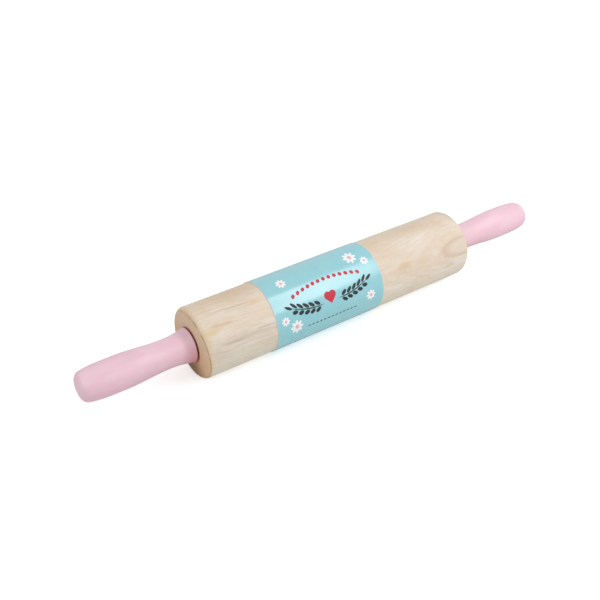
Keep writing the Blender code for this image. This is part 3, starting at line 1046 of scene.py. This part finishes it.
card_front = printed_card()
print("print nodes:", len(card_front.node_tree.nodes))

# %% The bare side of the card
BOARD_FIBRES_MM = (1.4, 0.4, 0.4)
SPECKS_MM = (0.7, 0.7, 0.7)
SPECK_STRENGTH = 0.5


def bare_board():
    """The uncoated side and cut edges: dull warm grey with fibres and specks."""
    material, tree, shader = new_material("bare_board", 0.85)
    place = pin_millimetres(tree)
    fibres = stretched_noise(tree, place, BOARD_FIBRES_MM, detail=4.0, roughness=0.65)
    specks = stretched_noise(tree, place, SPECKS_MM, detail=1.0)
    speck_share = add_node(
        tree, "MapRange", (specks, 0.7, 0.76, 0.0, SPECK_STRENGTH), **SMOOTH)
    colour = drifting(tree, fibres, 0.3, 0.7, "#ECE9E2", "#DDD9CF")
    colour = layered(tree, colour, (speck_share, "#8E8778"))
    surface(tree, shader, colour, fibres, strength=0.3, depth=0.00005)
    return material


card_back = bare_board()
print("board nodes:", len(card_back.node_tree.nodes))

# %% [markdown]
# ## Rolling the card
# The sheet starts as a flat grid: the first direction lies along the pin, and the
# second will go round it. The extruded copy is the printed face. Rolling turns the
# distance along the sheet into an angle, and the height above the grid into radius.

# %% Roll the card band
ACROSS_STEPS = 8
ROUND_STEPS = 256


def rolled(flat):
    """Where a point of the flat sheet goes when the sheet is wound up."""
    turn = flat.y / BAND_RADIUS
    climbed = min(max((turn - RAMP_START) / (RAMP_END - RAMP_START), 0), 1)
    radius = BAND_RADIUS + flat.z + climbed * (CARD_THICKNESS + GLUE_LINE)
    angle = BAND_START + turn
    return Vector((flat.x, radius * sin(angle), AXIS_HEIGHT - radius * cos(angle)))


def card_band():
    """The wound band, with its print on the outside and board elsewhere."""
    shape = bmesh.new()
    bmesh.ops.create_grid(shape, x_segments=ACROSS_STEPS, y_segments=ROUND_STEPS, size=0.5)
    bmesh.ops.translate(shape, verts=shape.verts, vec=(0, 0.5, 0))
    bmesh.ops.scale(shape, verts=shape.verts, vec=(BAND_LENGTH, CARD_LENGTH, 1))
    middle = (band_low.x + band_high.x) / 2
    bmesh.ops.translate(shape, verts=shape.verts, vec=(middle, 0, 0))
    raised = bmesh.ops.extrude_face_region(shape, geom=shape.faces[:], use_keep_orig=True)
    top = [item for item in raised["geom"] if isinstance(item, bmesh.types.BMVert)]
    bmesh.ops.translate(shape, verts=top, vec=(0, 0, CARD_THICKNESS))
    flat_card = shape.loops.layers.uv.new("flat_card")
    for face in shape.faces:
        printed = all(corner.co.z > CARD_THICKNESS / 2 for corner in face.verts)
        face.material_index = 0 if printed else 1
        for loop in face.loops:
            along = (loop.vert.co.x - band_low.x) / BAND_LENGTH
            loop[flat_card].uv = (along, 1 - loop.vert.co.y / CARD_LENGTH)
    for corner in shape.verts:
        corner.co = rolled(corner.co)
    return finished(shape, "printed_band", card_front, card_back)


band = card_band()
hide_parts("label_sleeve")
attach(band, "band")

# %% [markdown]
# ## Steel and nylon
# The rod and the thrust washers are mild steel with a bright zinc plating, which
# keeps faint lines from drawing or stamping. The bushes are moulded white nylon,
# slightly waxy. Little of them shows, in the gap beside a grip. Their solids are
# round enough, so they stay, and only take better materials.

# %% The steel
DRAWN_LINES_MM = (12, 0.15, 0.15)
ZINC_CLOUDS_MM = (5, 5, 5)


def zinc_plated_steel():
    """Drawn steel with bright zinc: cool and shiny, with faint lines and clouds."""
    material, tree, shader = new_material("zinc_plated_steel", 0.3, metallic=1.0)
    place = pin_millimetres(tree)
    lines = stretched_noise(tree, place, DRAWN_LINES_MM, detail=3.0)
    clouds = stretched_noise(tree, place, ZINC_CLOUDS_MM, detail=3.0)
    colour = drifting(tree, clouds, 0.35, 0.65, "#C9CCCE", "#BDC0C0")
    polish = add_node(tree, "MapRange", (lines, 0.3, 0.7, 0.24, 0.4), **SMOOTH)
    surface(tree, shader, colour, lines, strength=0.2, depth=0.00003, roughness=polish)
    return material


steel = zinc_plated_steel()
print("steel nodes:", len(steel.node_tree.nodes))

# %% The nylon
NYLON_FLOW_MM = (6, 3, 3)
NYLON_GRIT_MM = (0.4, 0.4, 0.4)


def moulded_nylon():
    """White nylon from a mould: off-white, waxy, with a fine grit."""
    material, tree, shader = new_material("moulded_nylon", 0.38, ior=1.53)
    place = pin_millimetres(tree)
    flow = stretched_noise(tree, place, NYLON_FLOW_MM)
    grit = stretched_noise(tree, place, NYLON_GRIT_MM)
    colour = drifting(tree, flow, 0.35, 0.65, "#ECE9E0", "#E3DFD3")
    waxiness = add_node(tree, "MapRange", (grit, 0.3, 0.7, 0.34, 0.46), **SMOOTH)
    surface(tree, shader, colour, grit, strength=0.15, depth=0.00004, roughness=waxiness)
    return material


nylon = moulded_nylon()
for node_name, material in (
    ("axle_rod", steel), ("near_washer", steel), ("far_washer", steel),
    ("near_bush", nylon), ("far_bush", nylon),
):
    for material_slot in cad_nodes[node_name].material_slots:
        material_slot.material = material
print("nylon nodes:", len(nylon.node_tree.nodes))

# %% [markdown]
# ## Light and floor
# The main lamp is a tall, narrow softbox in front of the pin and beyond its far end.
# It leaves a soft highlight on the upper front of the band and lets the top and the
# near end fall off a little. A small fill, high beyond the near end, opens up the
# end face and the grip. Other light comes evenly from all round, so the underside
# stays bright. Only camera, glossy and transmission rays see the world as pure
# white. The floor adds light of its own for the camera alone, somewhat more far
# off, and keeps a soft shadow.

# %% The lamps
LAMP_PLACE = Vector((0.465, -0.50, 0.78))
LAMP_WIDTH = 0.24
LAMP_HEIGHT = 0.9
LAMP_POWER = 4.9
FILL_PLACE = Vector((-0.80, -0.15, 0.70))
FILL_SIZE = 0.4
FILL_POWER = 1.8


def softbox(name, place, aim, sideways, width, height, power):
    """A rectangular lamp that faces a point, with its width along a direction."""
    data = bpy.data.lights.new(name, "AREA")
    data.shape = "RECTANGLE"
    data.size = width
    data.size_y = height
    data.energy = power
    lamp = bpy.data.objects.new(name, data)
    bpy.context.collection.objects.link(lamp)
    back = (place - aim).normalized()
    axes = Matrix((sideways, back.cross(sideways), back))
    lamp.matrix_world = Matrix.Translation(place) @ axes.transposed().to_4x4()
    print(name, "stands off, mm:", round((place - aim).length * TO_MM))


softbox(
    "tall_softbox", LAMP_PLACE, Vector((LAMP_PLACE.x, 0, AXIS_HEIGHT)),
    Vector((1, 0, 0)), LAMP_WIDTH, LAMP_HEIGHT, LAMP_POWER,
)
pin_middle = Vector((0, 0, AXIS_HEIGHT))
fill_sideways = Vector((0, 0, 1)).cross(FILL_PLACE - pin_middle).normalized()
softbox(
    "end_fill", FILL_PLACE, pin_middle, fill_sideways, FILL_SIZE, FILL_SIZE, FILL_POWER)

# %% The world
WORLD_STRENGTH = 0.6

world = bpy.data.worlds.new("white_studio")
bpy.context.scene.world = world
world.use_nodes = True
sky = world.node_tree
rays = add_node(sky, "LightPath").node.outputs
seen = add_node(
    sky, "Math", (rays["Is Camera Ray"], rays["Is Glossy Ray"]), operation="MAXIMUM")
seen = add_node(sky, "Math", (seen, rays["Is Transmission Ray"]), operation="MAXIMUM")
strength = add_node(sky, "MapRange", (seen, 0.0, 1.0, WORLD_STRENGTH, 1.0))
background = sky.nodes["Background"]
background.inputs["Color"].default_value = (1, 1, 1, 1)
sky.links.new(strength, background.inputs["Strength"])
print("world strength for diffuse light:", WORLD_STRENGTH)

# %% The floor
FLOOR_HALF = 3.0
FLOOR_REACHES = (0.4, 1.5)
FLOOR_GLOWS = (0.55, 0.62)

floor_paint, floor_tree, floor_shader = new_material("white_floor", 0.9, specular=0.0)
floor_shader.inputs["Base Color"].default_value = linear("#ECEFEE")
floor_shader.inputs["Emission Color"].default_value = (1, 1, 1, 1)
floor_rays = add_node(floor_tree, "LightPath").node.outputs
floor_place = add_node(floor_tree, "TexCoord").node.outputs["Object"]
floor_reach = add_node(floor_tree, "VectorMath", (floor_place,), operation="LENGTH")
floor_glow = add_node(
    floor_tree, "MapRange", (floor_reach, *FLOOR_REACHES, *FLOOR_GLOWS), **SMOOTH)
floor_glow = add_node(
    floor_tree, "Math", (floor_glow, floor_rays["Is Camera Ray"]), operation="MULTIPLY")
floor_tree.links.new(floor_glow, floor_shader.inputs["Emission Strength"])
sheet = bmesh.new()
bmesh.ops.create_grid(sheet, x_segments=1, y_segments=1, size=FLOOR_HALF)
floor = finished(sheet, "floor", floor_paint)

# %% [markdown]
# ## Finish
# The picture uses the Standard view, which shows colours as they are written.

# %% Finish
bpy.context.scene.view_settings.view_transform = "Standard"
